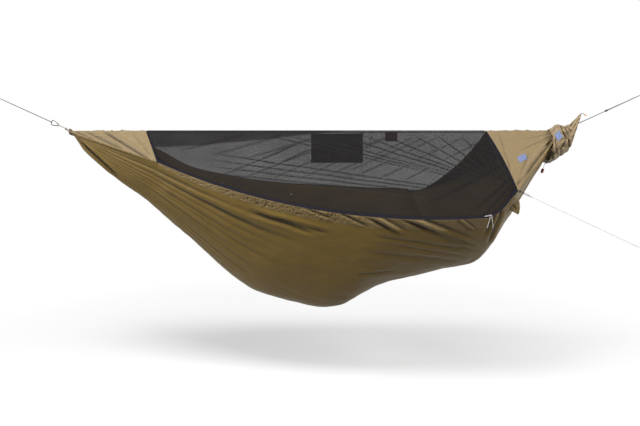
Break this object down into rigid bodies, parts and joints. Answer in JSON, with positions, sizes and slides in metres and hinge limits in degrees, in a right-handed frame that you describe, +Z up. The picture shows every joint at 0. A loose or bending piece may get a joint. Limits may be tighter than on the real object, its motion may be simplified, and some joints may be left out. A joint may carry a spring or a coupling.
{
  "type": "hammock tent",
  "caption": "Gathered-end hammock with a deep cloth bed, a mosquito-net roof over a ridge line, a zipped net door, slings with wire hooks, tie-outs and a stow bag",
  "frame": {"origin": "the centre of the left sling's end eye, which the left anchor holds", "axes": "+X runs along the ridge line from the left end to the right, -Y faces the zipped net door, +Z is up"},
  "size_m": [3.7308, 1.3151, 1.2354],
  "materials": {
    "cloth": "thin ripstop nylon, brown",
    "light_cloth": "thin ripstop nylon, light brown",
    "net": "fine black mosquito net",
    "zip": "black zip",
    "black_metal": "black anodised",
    "grey_cord": "braided grey cord",
    "dark_cord": "black cord and tape",
    "white_cord": "white braided cord",
    "black_plastic": "black moulded",
    "maroon": "dark red cloth",
    "red_plastic": "dark red moulded",
    "orange_plastic": "orange moulded",
    "blue_patch": "plain blue patch",
    "pale_plastic": "pale moulded"
  },
  "bodies": {
    "tent": {"far_net": "net", "far_rim_binding": "dark_cord", "far_tie_out_webbing": "dark_cord", "far_wall_stud": "pale_plastic", "hammock_bed": "cloth", "left_end_panel": "light_cloth", "left_gate_pin": "black_metal", "left_gather_loop": "grey_cord", "left_gather_whipping": "grey_cord", "left_hook": "black_metal", "left_seam_tape": "zip", "left_sling_bead": "black_plastic", "left_sling_loop": "grey_cord", "left_sling_tail": "grey_cord", "near_side_strip": "light_cloth", "near_tie_out_webbing": "dark_cord", "panel_label": "blue_patch", "ridge_line": "dark_cord", "right_end_panel": "light_cloth", "right_gate_pin": "black_metal", "right_gather_loop": "grey_cord", "right_gather_whipping": "grey_cord", "right_hook": "black_metal", "right_seam_tape": "zip", "right_sling_bead": "black_plastic", "right_sling_loop": "grey_cord", "right_sling_tail": "grey_cord", "roof_binding": "dark_cord", "tie_out_flap": "cloth", "zip_tape_lower": "zip"},
    "door": {"net_door": "net", "zip_tape_upper": "zip"},
    "slider": {"zip_slider": "zip"},
    "pull": {"zip_pull_tab": "zip", "zip_pull_cord": "white_cord"},
    "left_gate": {"left_hook_gate": "black_metal"},
    "right_gate": {"right_hook_gate": "black_metal"},
    "near_ring": {"near_tie_out_ring": "black_metal"},
    "guy": {"shock_cord": "dark_cord", "guyline": "white_cord"},
    "far_ring": {"far_tie_out_ring": "black_metal"},
    "organiser_rings": {"organiser_ring_left": "black_metal", "organiser_ring_right": "black_metal"},
    "organiser": {"organiser_panel": "dark_cord", "organiser_pocket": "dark_cord", "organiser_tail_left": "dark_cord", "organiser_tail_right": "dark_cord"},
    "lamp_hook": {"lamp_hook_cord": "dark_cord"},
    "tag": {"ridge_tag": "maroon"},
    "bag": {"stow_bag": "cloth", "bag_label": "blue_patch", "bag_lower_drawcord": "dark_cord", "bag_upper_drawcord": "dark_cord", "bag_cord_tip": "orange_plastic"},
    "toggle": {"bag_toggle": "red_plastic"}
  },
  "joints": [
    {"name": "door_hinge", "type": "hinge", "parent": "tent", "child": "door", "pos_m": [0.9047, 0, -0.2254], "axis": [-1, 0, 0], "range_deg": [0, 220]},
    {"name": "zip_travel", "type": "hinge", "parent": "tent", "child": "slider", "pos_m": [2.47786, 1.68686, 1.52664], "axis": [0.0052, 0.7148, -0.6993], "range_deg": [0, 33]},
    {"name": "pull_tab_hinge", "type": "hinge", "parent": "slider", "child": "pull", "pos_m": [2.71329, -0.43813, -0.63689], "axis": [0.0774, -0.6975, -0.7124], "range_deg": [0, 140]},
    {"name": "left_gate_hinge", "type": "hinge", "parent": "tent", "child": "left_gate", "pos_m": [0.41474, 0, -0.1833], "axis": [0, -1, 0], "range_deg": [0, 22], "stiffness_Nm_per_rad": 0.02, "springref_deg": -20.05},
    {"name": "right_gate_hinge", "type": "hinge", "parent": "tent", "child": "right_gate", "pos_m": [3.26348, 0, -0.19339], "axis": [0, 1, 0], "range_deg": [0, 22], "stiffness_Nm_per_rad": 0.02, "springref_deg": -20.05},
    {"name": "near_ring_pitch", "type": "hinge", "parent": "tent", "child": "near_ring", "pos_m": [2.89639, -0.42799, -0.50999], "axis": [-0.5957, -0.8032, 0], "range_deg": [-30, 30]},
    {"name": "guyline_turn", "type": "hinge", "parent": "near_ring", "child": "guy", "pos_m": [2.9032, -0.43304, -0.51301], "axis": [0.2696, -0.2, 0.942], "range_deg": [-45, 45]},
    {"name": "far_ring_swing", "type": "hinge", "parent": "tent", "child": "far_ring", "pos_m": [2.48286, 0.43276, -0.61668], "axis": [0.9762, 0.2169, 0], "range_deg": [0, 100]},
    {"name": "organiser_slide", "type": "slide", "parent": "tent", "child": "organiser_rings", "axis": [1, 0, 0], "range_m": [-0.85, 0.008]},
    {"name": "organiser_swing", "type": "hinge", "parent": "organiser_rings", "child": "organiser", "pos_m": [1.96453, 0, -0.243], "axis": [1, 0, 0], "range_deg": [-25, 25]},
    {"name": "lamp_hook_slide", "type": "slide", "parent": "tent", "child": "lamp_hook", "axis": [1, 0, 0], "range_m": [-0.006, 0.06]},
    {"name": "tag_slide", "type": "slide", "parent": "tent", "child": "tag", "axis": [1, 0, 0], "range_m": [-0.02, 0.45]},
    {"name": "bag_slide", "type": "slide", "parent": "tent", "child": "bag", "axis": [0.9074, 0, 0.4203], "range_m": [0, 0.015]},
    {"name": "toggle_slide", "type": "slide", "parent": "bag", "child": "toggle", "axis": [0.3044, 0.0476, 0.9513], "range_m": [0, 0.028]}
  ]
}
